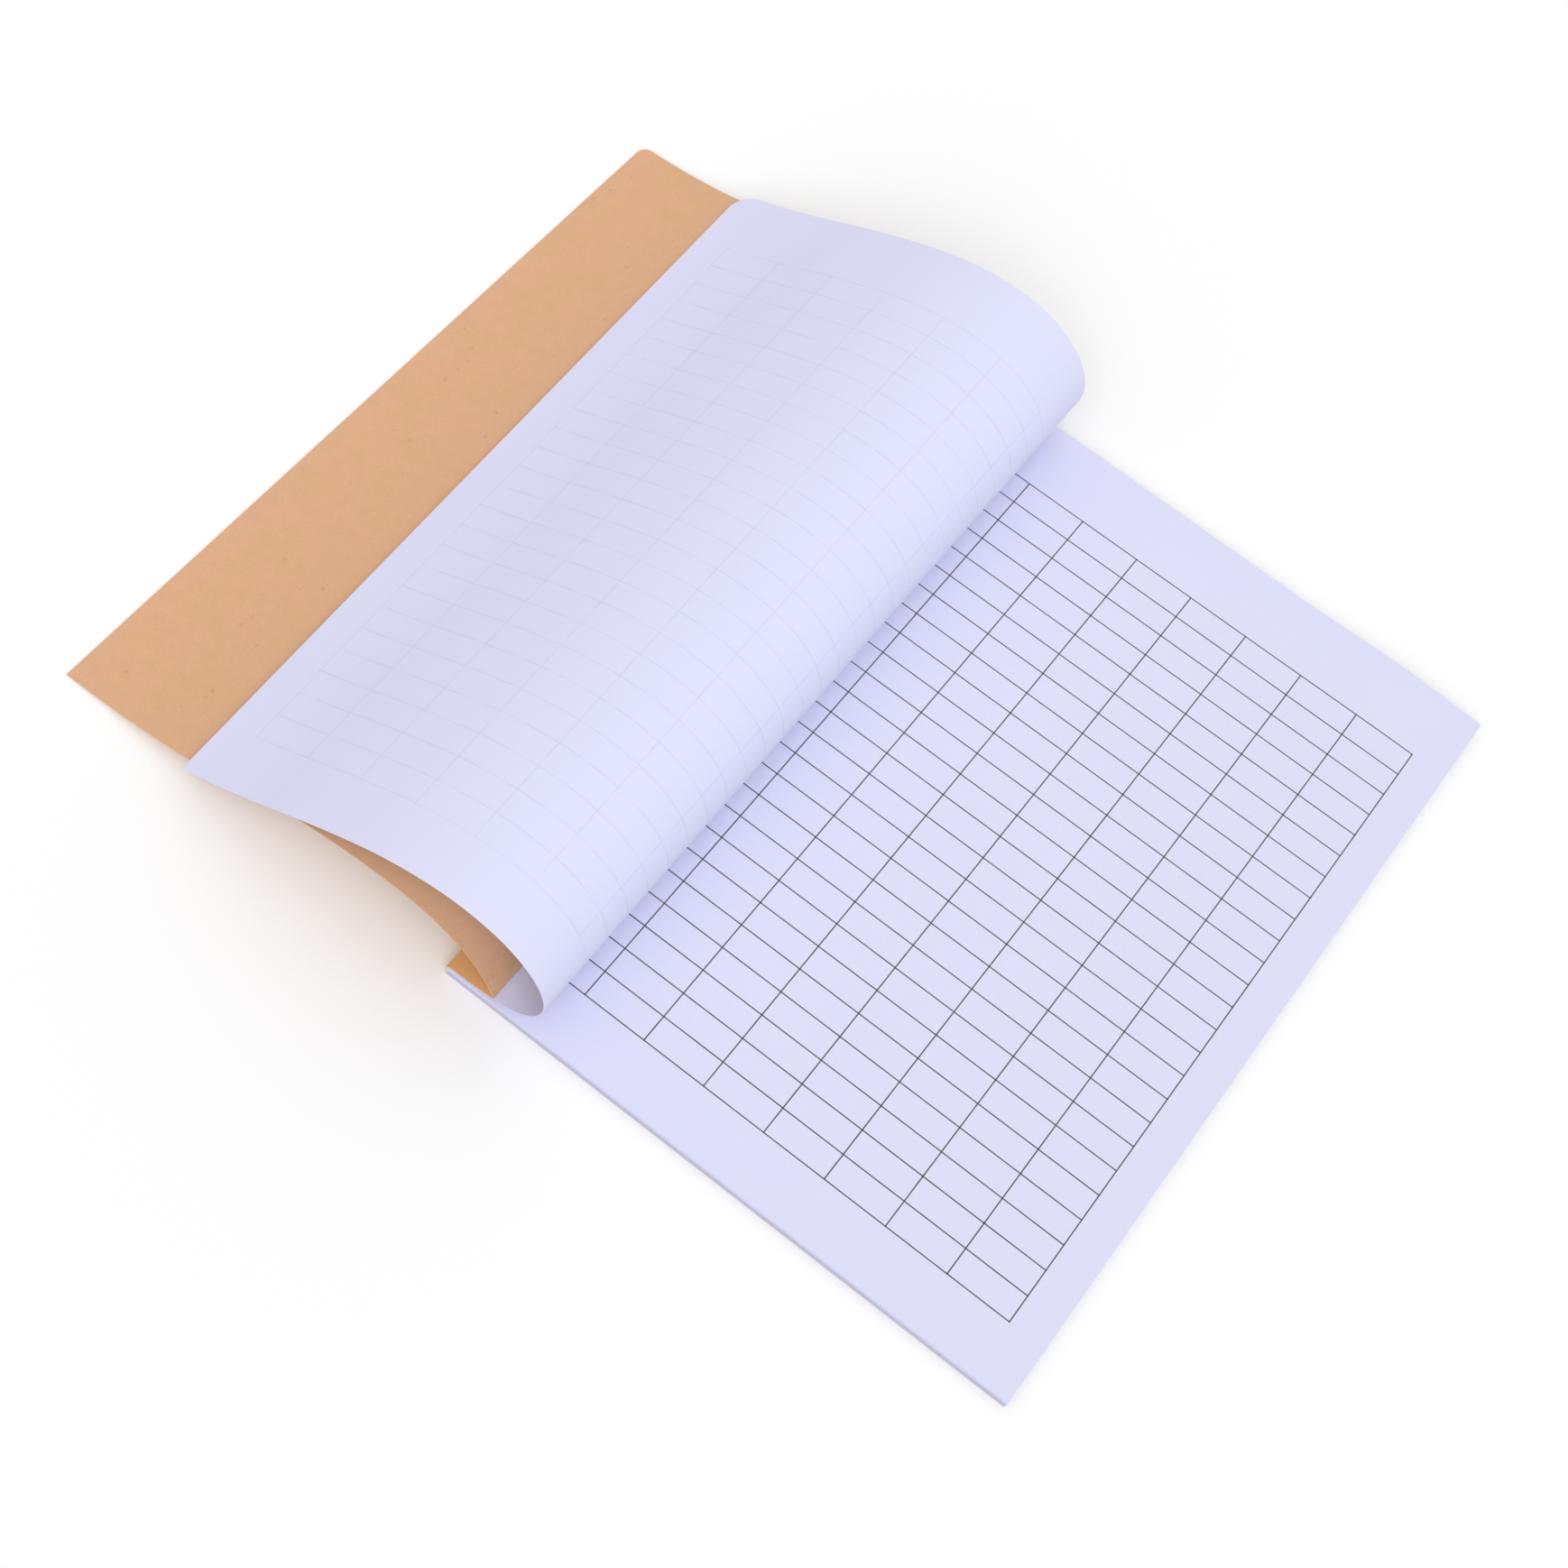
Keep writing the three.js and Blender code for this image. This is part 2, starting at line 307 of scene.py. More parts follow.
class CentreLine:
    """Middle of a sheet seen from the near edge: arcs that run on from each other."""

    def __init__(self, x, z, angle, arcs):
        lengths, turns = np.array(arcs, float).T
        headings = angle + np.concatenate(([0], np.cumsum(turns)[:-1])) + turns / 2
        chords = lengths * np.sinc(turns / 2 / np.pi)
        self.starts = np.concatenate(([0], np.cumsum(lengths)))
        self.angles = headings - turns / 2
        self.bends = turns / lengths
        self.x = x + np.concatenate(([0], np.cumsum(chords * np.cos(headings))))
        self.z = z + np.concatenate(([0], np.cumsum(chords * np.sin(headings))))
        self.length = self.starts[-1]

    def at(self, out):
        """X, Z and heading at distances along the sheet. Past its ends the line runs on."""
        arc = np.clip(np.searchsorted(self.starts, out, side="right") - 1, 0, len(self.bends) - 1)
        along = out - self.starts[arc]
        half = self.bends[arc] * along / 2
        chord = along * np.sinc(half / np.pi)
        heading = self.angles[arc] + half
        return (self.x[arc] + chord * np.cos(heading), self.z[arc] + chord * np.sin(heading),
                heading + half)

    def stations(self, low, high, longest, sharpest):
        """Distances from low to high, close enough that no step is too long or turns too far."""
        places = [low]
        for start, end, bend in zip(self.starts[:-1], self.starts[1:], self.bends):
            first, last = max(start, low), min(end, high)
            if last - first > SHORTEST:
                steps = math.ceil((last - first) * max(1 / longest, abs(bend) / sharpest))
                places.extend(np.linspace(first, last, steps + 1)[1:])
        return np.array(places)


def real_arcs(arcs):
    """Arcs in metres and radians."""
    return [(length * MILLIMETRE, math.radians(turn)) for length, turn in arcs]


def settled_line(x, z, angle, lead, arcs, tail, width, edge_height):
    """A turned sheet's line, with the tail's first arc bent until the free edge is at a height."""
    fixed = lead + real_arcs(arcs)
    shares = sum(share for share, _ in tail)
    free_width = width - sum(length for length, _ in real_arcs(arcs))
    free = [[share / shares * free_width, math.radians(turn)] for share, turn in tail]
    low, high = free[0][1] - SETTLING, free[0][1] + SETTLING
    for _ in range(HALVINGS):
        free[0][1] = (low + high) / 2
        line = CentreLine(x, z, angle, fixed + free)
        if line.z[-1] > edge_height:
            low = free[0][1]
        else:
            high = free[0][1]
    return line


def halfway(places):
    """The places halfway between neighbours."""
    return [(low + high) / 2 for low, high in zip(places[:-1], places[1:])]


def smooth(value):
    """0 to 1 with level ends."""
    value = np.clip(value, 0, 1)
    return value * value * (3 - 2 * value)


def unevenness(out, across):
    """Gentle waves of a sheet between 0 and 1, the same at each run: a few crossed ones."""
    draws = np.random.default_rng(SEED)
    total = 0
    lowest, highest = (-WAVE_PITCH, -WAVE_PITCH, 0), (WAVE_PITCH, WAVE_PITCH, WAVE_PHASE)
    for along, beside, phase in draws.uniform(lowest, highest, (WAVES, 3)):
        total = total + np.sin(out * along + across * beside + phase)
    return (1 + total / WAVES) / 2


class Book:
    """The sheets' shapes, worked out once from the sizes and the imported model."""

    def __init__(self, sizes):
        self.sizes = sizes
        self.width, self.height = sizes.page_width, sizes.page_height
        self.near = -self.height / 2
        spine = HINGES["binding_lift"]
        score = HINGES["cover_fold"]
        lift, fold = sizes.binding_lift, sizes.cover_fold
        self.score_turn = lift + fold / 2
        radius, half = sizes.fold_radius, sizes.cover_thickness / 2

        # The wrap: back cover, spine, binding strip and front cover, in one run of card
        spine_turn = math.pi / 2 - lift
        spine_setback = radius * math.tan(spine_turn / 2)
        score_setback = radius * math.tan(fold / 2)
        spine_height = spine[2] - (BACK_LOW.z + half)
        first = COVER_ARCS[0]
        used = score_setback / (first[0] * MILLIMETRE)
        lead = [
            (self.width - half - radius, 0.0),
            (radius * math.pi / 2, -math.pi / 2),
            (spine_height - radius - spine_setback, 0.0),
            (radius * spine_turn, -spine_turn),
            (sizes.binding_width - spine_setback - score_setback, 0.0),
            (radius * fold, fold + math.radians(first[1]) * used),
        ]
        arcs = ((first[0] * (1 - used), first[1] * (1 - used)),) + COVER_ARCS[1:]
        free_width = self.width - sizes.binding_width - score_setback
        cover_edge = FREE_COVER_LOW.z + half
        self.wrap = settled_line(BACK_HIGH.x, BACK_LOW.z + half, math.pi, lead, arcs, COVER_TAIL,
                                 free_width, cover_edge)
        # Of the lead's six stretches the strip is the fifth, and the front cover follows the sixth
        self.strip_start, self.strip_end, self.cover_start = self.wrap.starts[4:7]
        self.cover_bends = [self.cover_start - score_setback + bend * MILLIMETRE
                            for bend in COVER_BENDS]

        # The first leaf: its margin under the strip, then the curl
        self.margin = sizes.binding_width - (MARGIN_LOW.x - spine[0])
        drop = sizes.leaf_drop
        root_x = score[0] + drop * math.sin(lift) - self.margin * math.cos(lift)
        root_z = score[2] - drop * math.cos(lift) - self.margin * math.sin(lift)
        leaf_edge = FREE_LEAF_LOW.z + sizes.leaf_thickness / 2
        self.leaf = settled_line(root_x, root_z, lift, [(self.margin, 0.0)], LEAF_ARCS, LEAF_TAIL,
                                 self.width - sizes.binding_width, leaf_edge)
        self.leaf_bends = [self.margin + bend * MILLIMETRE for bend in LEAF_BENDS]
        self.leaf_inset = MARGIN_LOW.x - BACK_LOW.x

    def wrap_surface(self, out, across):
        """Middle of the card at distances along its run and across the page."""
        inset = self.sizes.back_inset
        out = out + inset * (1 - smooth(out / INSET_FADE))
        place = self.lifted(self.wrap, self.cover_start, self.sizes.cover_slide,
                            self.sizes.cover_overhang, out, across)
        risen = (out - self.cover_start) / (self.wrap.length - self.cover_start)
        sag = smooth(risen / SAG_SHARES[0]) * smooth((1 - risen) / SAG_SHARES[1])
        sag = self.sizes.cover_sag * sag
        heading = self.wrap.at(out)[2]
        place[..., 0] -= sag * np.sin(heading)
        place[..., 2] += sag * np.cos(heading)
        inset = inset * (1 - smooth((out - self.strip_start) / INSET_FADE))
        place[..., 1] += inset * (1 - 2 * across / self.height)
        return place

    def leaf_surface(self, out, across):
        """Middle of the first leaf at distances from its bound edge and across the page."""
        return self.lifted(self.leaf, self.margin, self.sizes.leaf_slide, self.sizes.leaf_overhang,
                           out, across)

    def lifted(self, line, root, slides, overhangs, out, across):
        """A turned sheet along its line. From its root on it is more and more slid along, hung out
        at its free corners and made uneven.
        """
        freed = smooth((out - root) / (line.length - root))
        slide = slides[0] + (slides[1] - slides[0]) * across / self.height
        x, z, heading = line.at(out + slide * freed)
        bow = self.sizes.unevenness * freed * unevenness(out - root, across)
        share = across / self.height
        y = self.near + across + freed ** 2 * (
            overhangs[1] * share ** 2 - overhangs[0] * (1 - share) ** 2)
        return np.stack((x + bow * np.sin(heading), y, z - bow * np.cos(heading)), -1)

    def worn(self, length, corner):
        """How far a sheet reaches at each place across the page, with its far corner rounded."""
        def reach(across):
            past = np.clip(across - (self.height - corner), 0, corner)
            return length - corner + np.sqrt(corner ** 2 - past ** 2)
        return reach

    def acrosses(self):
        """Places across the page for the rows of a mesh, closer together by the worn corners."""
        part = CORNER_PART * max(self.sizes.cover_corner, self.sizes.leaf_corner)
        return np.concatenate((np.linspace(0, self.height - part, PLAIN_PLACES)[:-1],
                               self.height - part * np.linspace(1, 0, CORNER_PLACES) ** 2))

    def page_surface(self, out, across):
        """Middle of the page that lies on top of the block."""
        x = BACK_LOW.x + self.leaf_inset + out
        from_fore, from_far = BACK_HIGH.x - x, self.height - across
        rise = smooth(from_fore / RISE_REACHES[0]) * smooth(1 - from_far / RISE_REACHES[2])
        rise = rise * smooth((sum(RISE_REACHES[:2]) - from_fore) / RISE_REACHES[1])
        z = (PAGE_LOW.z + PAGE_HIGH.z) / 2 + self.sizes.page_rise * rise
        return np.stack((x, self.near + across, z), -1)


def normals_of(surface, out, across, reach=2e-5):
    """Directions square to a surface, on its left-hand side."""
    along = surface(out + reach, across) - surface(out - reach, across)
    beside = surface(out, across + reach) - surface(out, across - reach)
    normal = np.cross(along, beside)
    return normal / np.linalg.norm(normal, axis=-1, keepdims=True)


def quads(*corners):
    """Four grids of vertex numbers as a list of faces."""
    return np.stack([np.asarray(corner).ravel() for corner in corners], -1)


def sheet(name, surface, outs, acrosses, thickness, finishes, print_start=0.0, face_share=0.5,
          reach=None):
    """A closed thin sheet over a grid of distances, drawn in to reach at its outer end.

    finishes are the materials of its left-hand face, its other face and its cut edges. The map
    named Sheet holds each corner's place on the flat sheet in millimetres, and the map named
    OFBake gives face_share of its width to the left-hand face.
    """
    out, across = np.meshgrid(outs, acrosses, indexing="ij")
    if reach:
        share = (out - outs[0]) / (outs[-1] - outs[0])
        out = out - (outs[-1] - reach(across)) * share ** GATHER
    middle, normal = surface(out, across), normals_of(surface, out, across)
    points = np.concatenate([(middle + side * normal * thickness / 2).reshape(-1, 3)
                             for side in (1, -1)])
    upper = np.arange(out.size).reshape(out.shape)
    lower = upper + out.size
    left = quads(upper[:-1, :-1], upper[1:, :-1], upper[1:, 1:], upper[:-1, 1:])
    right = quads(lower[:-1, :-1], lower[:-1, 1:], lower[1:, 1:], lower[1:, :-1])
    border = np.concatenate((upper[:-1, 0], upper[-1, :-1], upper[:0:-1, -1], upper[0, :0:-1]))
    following = np.roll(border, -1)
    rim = quads(border + out.size, following + out.size, following, border)
    faces = np.concatenate((left, right, rim))

    mesh = bpy.data.meshes.new(name)
    mesh.from_pydata(points.tolist(), [], faces.tolist())
    for finish in finishes:
        mesh.materials.append(finish)
    which = np.repeat((0, 1, 2), (len(left), len(right), len(rim)))
    mesh.polygons.foreach_set("material_index", which.astype(np.int32))
    mesh.polygons.foreach_set("use_smooth", which < 2)

    flat = np.stack((out + print_start, across), -1).reshape(-1, 2) / MILLIMETRE
    layer = mesh.uv_layers.new(name="Sheet")
    layer.data.foreach_set("uv", np.tile(flat, (2, 1))[faces.ravel()].astype(np.float32).ravel())
    write_export_map(mesh, faces, which, out, across, face_share)

    # A normal of no length leaves a cut edge flat
    corners = np.tile(normal.reshape(-1, 3), (2, 1))[faces.ravel()]
    signs = np.repeat(np.array((1.0, -1.0, 0.0))[which], 4)
    mesh.normals_split_custom_set((corners * signs[:, None]).tolist())
    mesh.update()
    piece = bpy.data.objects.new(name, mesh)
    bpy.context.scene.collection.objects.link(piece)
    return piece


def write_export_map(mesh, faces, which, out, across, face_share):
    """The map named OFBake: both faces side by side, then the edges.

    gap is the margin round each of them, and faces_end where the edges' strip starts.
    """
    gap, faces_end = 0.006, 0.97
    along = (out - out.min()) / (out.max() - out.min())
    beside = (across - across.min()) / (across.max() - across.min())
    split = faces_end * face_share
    first = gap + along * (split - 2 * gap)
    second = split + gap + along * (faces_end - split - 2 * gap)
    height = gap + beside * (1 - 2 * gap)
    places = np.stack((np.concatenate((first.ravel(), second.ravel())),
                       np.tile(height.ravel(), 2)), -1)
    corners = places[faces.ravel()].reshape(-1, 4, 2)
    edge = which == 2
    count = int(edge.sum())
    run = gap + (np.arange(count + 1) / count) * (1 - 2 * gap)
    corners[edge, :, 1] = np.stack((run[:-1], run[1:], run[1:], run[:-1]), -1)
    corners[edge, :, 0] = (faces_end + gap, faces_end + gap, 1 - gap, 1 - gap)
    layer = mesh.uv_layers.new(name="OFBake")
    layer.data.foreach_set("uv", corners.astype(np.float32).ravel())


def bend_at(piece):
    """Bakes the piece's place into its mesh."""
    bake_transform(piece)


# Finishes


class Finish:
    """A material, with short calls for the nodes that the finishes share."""

    def __init__(self, name, roughness):
        self.material = bpy.data.materials.new(name)
        self.material.use_nodes = True
        self.tree = self.material.node_tree
        self.shader = self.tree.nodes["Principled BSDF"]
        self.shader.inputs["Roughness"].default_value = roughness
        self.shader.inputs["Specular IOR Level"].default_value = SPECULAR
        self.sheet = self.put("ShaderNodeUVMap", {}, uv_map="Sheet")
        parts = self.node("ShaderNodeSeparateXYZ", {"Vector": self.sheet})
        self.out, self.across = parts.outputs["X"], parts.outputs["Y"]

    def node(self, kind, inputs, **settings):
        """A node with its settings. Its inputs are numbers or other nodes' outputs."""
        node = self.tree.nodes.new(kind)
        for setting, value in settings.items():
            setattr(node, setting, value)
        for key, value in inputs.items():
            if isinstance(value, bpy.types.NodeSocket):
                self.tree.links.new(value, node.inputs[key])
            else:
                node.inputs[key].default_value = value
        return node

    def put(self, kind, inputs, output=0, **settings):
        """The output of a new node."""
        return self.node(kind, inputs, **settings).outputs[output]

    def math(self, operation, *values):
        """A sum on numbers and outputs."""
        return self.put("ShaderNodeMath", dict(enumerate(values)), operation=operation)

    def stretched(self, place, turn, stretch):
        """The place on the sheet, turned and stretched."""
        return self.put("ShaderNodeMapping", {
            "Vector": place, "Rotation": (0, 0, turn), "Scale": (stretch[0], stretch[1], 1)})

    def noise(self, size, place=None, detail=2.0, roughness=0.55):
        """Soft noise whose blots are about that many millimetres across."""
        return self.put("ShaderNodeTexNoise", {
            "Vector": place or self.sheet, "Scale": 1 / size, "Detail": detail,
            "Roughness": roughness})

    def between(self, value, low, high):
        """0 below low, 1 above high and even in between."""
        return self.put("ShaderNodeMapRange", {
            "Value": value, "From Min": low, "From Max": high, "To Min": 0.0, "To Max": 1.0})

    def specks(self, spacing, radius, missing):
        """Soft round specks, one to each cell of that many millimetres, with a share left out."""
        cells = self.node("ShaderNodeTexVoronoi", {"Vector": self.sheet, "Scale": 1 / spacing})
        edge = radius / spacing
        dot = self.between(cells.outputs["Distance"], edge, edge / 2)
        draw = self.put("ShaderNodeSeparateColor", {"Color": cells.outputs["Color"]})
        return self.math("MULTIPLY", dot, self.math("GREATER_THAN", draw, missing))

    def mix(self, share, first, second, blend="MIX"):
        """Two colours mixed."""
        # The node repeats its sockets' names for each kind of value, so colours go by number
        return self.put("ShaderNodeMix", {0: share, 6: first, 7: second}, output=2,
                        data_type="RGBA", blend_type=blend)

    def shaded(self, color, value, amount):
        """A colour made up to that share lighter and darker where a noise is high and low."""
        swing = self.math("MULTIPLY_ADD", value, 2 * amount, 1 - amount)
        grey = self.put("ShaderNodeCombineColor", {"Red": swing, "Green": swing, "Blue": swing})
        return self.mix(1.0, color, grey, "MULTIPLY")

    def colour(self, value):
        """The colour that the surface shows."""
        self.tree.links.new(value, self.shader.inputs["Base Color"])

    def bump(self, height, depth):
        """Unevenness too fine for the mesh, that many metres deep."""
        normal = self.put("ShaderNodeBump", {"Height": height, "Distance": depth, "Strength": 1.0})
        self.tree.links.new(normal, self.shader.inputs["Normal"])


def opaque(colour):
    """A property's colour with full cover."""
    return (*colour, 1.0)


def ruled_lines(finish, sizes, cover, soft):
    """How much ink lies on a place of the sheet: rows and columns inside a border.

    cover is the most that a line covers, and soft how far its edges fade in millimetres.
    """
    mm = 1 / MILLIMETRE
    half = sizes.line_width * mm / 2
    near, spine = sizes.near_border * mm, sizes.spine_border * mm
    fore = (sizes.page_width - sizes.fore_border) * mm
    far = near + sizes.rows * sizes.row_pitch * mm

    def line(distance):
        return finish.math("SUBTRACT", 1.0, finish.between(distance, half - soft, half + soft))

    def repeated(place, origin, pitch):
        steps = finish.math("DIVIDE", finish.math("SUBTRACT", place, origin), pitch)
        nearest = finish.math("ROUND", steps)
        return line(finish.math("MULTIPLY", finish.math("ABSOLUTE", finish.math(
            "SUBTRACT", steps, nearest)), pitch))

    def inside(place, low, high):
        return finish.math("MULTIPLY", finish.math("GREATER_THAN", place, low - half),
                           finish.math("LESS_THAN", place, high + half))

    rows = repeated(finish.across, near, sizes.row_pitch * mm)
    columns = repeated(finish.out, fore, sizes.column_pitch * mm)
    border = line(finish.math("ABSOLUTE", finish.math("SUBTRACT", finish.out, spine)))
    columns = finish.math("MAXIMUM", columns, border)
    within = finish.math("MULTIPLY", inside(finish.out, spine, fore),
                         inside(finish.across, near, far))
    clear = finish.math("MULTIPLY", finish.math("MULTIPLY_ADD", rows, -cover, 1.0),
                        finish.math("MULTIPLY_ADD", columns, -cover, 1.0))
    return finish.math("MULTIPLY", finish.math("SUBTRACT", 1.0, clear), within)


def paper(name, stock_colour, ink, sizes, cover, soft, least):
    """Smooth writing paper with its ruling, as printed or as it shows through to the back.

    least is the share of the ink that stays where the print is weakest.
    """
    finish = Finish(name, roughness=0.82)
    tone = finish.shaded(opaque(stock_colour), finish.noise(size=38, detail=3.0), amount=0.012)
    tone = finish.shaded(tone, finish.noise(size=1.4), amount=0.010)
    spots = finish.math("MULTIPLY", finish.specks(spacing=28.0, radius=0.3, missing=0.6), 0.3)
    tone = finish.mix(spots, tone, opaque(ink))
    lines = ruled_lines(finish, sizes, cover, soft)
    strength = finish.between(finish.noise(size=9.0, detail=3.0), low=0.35, high=0.6)
    strength = finish.math("MULTIPLY_ADD", strength, 1 - least, least)
    tone = finish.mix(finish.math("MULTIPLY", lines, strength), tone, opaque(ink))
    finish.colour(tone)
    finish.bump(finish.noise(size=0.35, detail=3.0), depth=0.000012)
    return finish.material


def kraft(name, colour):
    """Uncoated kraft card: clouded pink and yellow, with fine fibres and small soft bark specks."""
    finish = Finish(name, roughness=0.86)
    pink, yellow = (1.02, 0.99, 1.03, 1.0), (0.99, 1.0, 0.965, 1.0)
    cloud = finish.between(finish.noise(size=16, detail=4.0), low=0.36, high=0.64)
    tone = finish.mix(1.0, opaque(colour), finish.mix(cloud, pink, yellow), "MULTIPLY")
    tone = finish.shaded(tone, finish.noise(size=5, detail=4.0), amount=0.05)
    tone = finish.shaded(tone, finish.noise(size=0.9, detail=4.0), amount=0.05)
    light, dark, bark = (1.10, 1.08, 1.05, 1.0), (0.90, 0.87, 0.83, 1.0), (0.34, 0.22, 0.12, 1.0)
    # Fibres: which way they lie, how thick they are in millimetres, and their tint
    for turn, size, tint in ((0.4, 0.42, light), (1.5, 0.46, dark), (2.6, 0.38, dark)):
        place = finish.stretched(finish.sheet, turn, stretch=(0.3, 1.0))
        fibre = finish.between(finish.noise(size, place, detail=1.0), low=0.62, high=0.72)
        tone = finish.mix(finish.math("MULTIPLY", fibre, 0.6), tone,
                          finish.mix(1.0, tone, tint, "MULTIPLY"))
    # Specks: their spacing and radius in millimetres, the share left out, and how strong they are
    for spacing, radius, missing, strength in ((9.0, 1.1, 0.5, 0.22), (5.0, 0.5, 0.7, 0.3)):
        spots = finish.math("MULTIPLY", finish.specks(spacing, radius, missing), strength)
        tone = finish.mix(spots, tone, bark)
    finish.colour(tone)
    finish.bump(finish.noise(size=0.5, detail=4.0), depth=0.00003)
    return finish.material


def page_edges_with_painted_shade(name, colours):
    """Cut edges of a stack of leaves, with painted shade: greyer towards the table."""
    finish = Finish(name, roughness=0.88)
    place = finish.put("ShaderNodeTexCoord", {}, output="Object")
    height = finish.node("ShaderNodeSeparateXYZ", {"Vector": place}).outputs["Z"]
    # Painted shade: the edges turn from the paper's colour to a shaded grey towards the table
    low = finish.between(height, *EDGE_PAINTED_SHADE)
    tone = finish.mix(low, opaque(colours.paper), opaque(colours.paper_edge_painted_shade))
    tone = finish.shaded(tone, finish.noise(size=6.0), amount=0.03)
    tone = finish.shaded(tone, finish.noise(size=0.6), amount=0.04)
    finish.colour(tone)
    finish.bump(finish.noise(size=0.4), depth=0.00002)
    return finish.material


def adhesive(name, colours):
    """Dried binding adhesive, uneven and a little glossy."""
    finish = Finish(name, roughness=0.45)
    place = finish.put("ShaderNodeTexCoord", {}, output="Object")
    scaled = finish.put("ShaderNodeVectorMath", {"Vector": place, "Scale": 1 / MILLIMETRE},
                        operation="SCALE")
    tone = finish.shaded(opaque(colours.adhesive), finish.noise(3.0, scaled), amount=0.08)
    finish.colour(tone)
    finish.bump(finish.noise(1.2, scaled), depth=0.00004)
    return finish.material


def stock(name, make, *details):
    """A material by name, made the first time that it is asked for."""
    return bpy.data.materials.get(name) or make(name, *details)


def kraft_finishes(colours):
    """Outer face, inner face and cut edge of the card. The outer face's colour is partly painted
    light.
    """
    outside_tone_and_painted_light = stock("kraft_outside", kraft, colours.kraft_outside)
    inside = stock("kraft_inside", kraft, colours.kraft_inside)
    return outside_tone_and_painted_light, inside, outside_tone_and_painted_light


def paper_finishes(colours, sizes):
    """Printed face, back and cut edge of a leaf. The back is painted lighter for light shining
    through the sheet, and the edge is painted with shade towards the table.
    """
    front = stock("ruled_paper", paper, colours.paper, colours.ink, sizes, *PRINTED)
    # The back's colour is painted light: lighter than the front, as if lit through the sheet
    back = stock("paper_back", paper, colours.paper_back, colours.show_through, sizes,
                 *SEEN_THROUGH)
    # The edges are painted with shade, greyer towards the table
    edge = stock("paper_edges", page_edges_with_painted_shade, colours)
    return front, back, edge


# Operators, one for each group of like pieces


class LEDGER_OT_fold_cover(bpy.types.Operator):
    """Fold the card round the block: back cover, spine, binding strip and front cover"""

    bl_idname = "ledger.fold_cover"
    bl_label = "Fold Cover"

    def execute(self, context):
        sizes, colours = context.scene.ledger_sizes, context.scene.ledger_colours
        book = Book(sizes)
        finishes = kraft_finishes(colours)
        acrosses = book.acrosses()
        seams = [0.0, *halfway([book.strip_start, book.strip_end]),
                 *halfway([book.cover_start, *book.cover_bends]), book.wrap.length]
        parts = (
            ("back_cover_and_spine", ("back_cover", "cover_binding_strip")),
            ("front_cover_score", ("front_cover_1",)),
            ("front_cover_rise", ("front_cover_2",)),
            ("front_cover_crest", ("front_cover_3",)),
            ("front_cover_fall", ("front_cover_4",)),
        )
        for (name, nodes), low, high in zip(parts, seams[:-1], seams[1:]):
            outs = book.wrap.stations(low, high, *COVER_STEPS)
            last = high == book.wrap.length
            piece = sheet(name, book.wrap_surface, outs, acrosses, sizes.cover_thickness, finishes,
                          reach=book.worn(high, sizes.cover_corner) if last else None)
            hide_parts(*nodes)
            if name == "back_cover_and_spine":
                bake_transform(piece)
            elif name == "front_cover_score":
                bend_at(piece)
            else:
                number = int(nodes[0][-1])
                angle = book.wrap.at(book.cover_bends[number - 2])[2]
                bend_at(piece)
        return {"FINISHED"}


class LEDGER_OT_curl_leaf(bpy.types.Operator):
    """Curl the first leaf over onto the folded-back cover"""

    bl_idname = "ledger.curl_leaf"
    bl_label = "Curl First Leaf"

    def execute(self, context):
        sizes, colours = context.scene.ledger_sizes, context.scene.ledger_colours
        book = Book(sizes)
        finishes = paper_finishes(colours, sizes)
        acrosses = book.acrosses()
        seams = [0.0, *halfway(book.leaf_bends), book.leaf.length]
        parts = (
            ("first_leaf_root", ("leaf_01_1",), "binding_flap", "leaf_01_2"),
            ("first_leaf_curl", ("leaf_01_2",), "leaf_01_2", "leaf_01_3"),
            ("first_leaf_fall", ("leaf_01_3", "leaf_01_4"), "leaf_01_3", "leaf_01_4"),
        )
        for (name, nodes, first, second), low, high in zip(parts, seams[:-1], seams[1:]):
            outs = book.leaf.stations(low, high, *LEAF_STEPS)
            last = high == book.leaf.length
            piece = sheet(name, book.leaf_surface, outs, acrosses, sizes.leaf_thickness, finishes,
                          print_start=book.leaf_inset,
                          reach=book.worn(high, sizes.leaf_corner) if last else None)
            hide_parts(*nodes)
            number = int(second[-1])
            angle = book.leaf.at(book.leaf_bends[number - 2])[2]
            bend_at(piece)
        return {"FINISHED"}


class LEDGER_OT_lay_page(bpy.types.Operator):
    """Lay the ruled page that shows on top of the block"""

    bl_idname = "ledger.lay_page"
    bl_label = "Lay Ruled Page"

    def execute(self, context):
        sizes, colours = context.scene.ledger_sizes, context.scene.ledger_colours
        book = Book(sizes)
        centre = np.array(HINGES["page_02_lift"])
        bend = centre[0] - MARGIN_LOW.x
        stops = (0, bend - PAGE_REACH, bend + PAGE_REACH, sizes.page_width - book.leaf_inset)
        outs = np.concatenate([np.linspace(low, high, places)[:-1] for low, high, places
                               in zip(stops[:-1], stops[1:], PAGE_PLACES)] + [stops[-1:]])
        acrosses = book.acrosses()
        piece = sheet("ruled_page", book.page_surface, outs, acrosses, sizes.leaf_thickness,
                      paper_finishes(colours, sizes), print_start=book.leaf_inset, face_share=0.72)
        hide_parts("leaf_02_margin", "leaf_02_page")
        bend_at(piece)
        return {"FINISHED"}


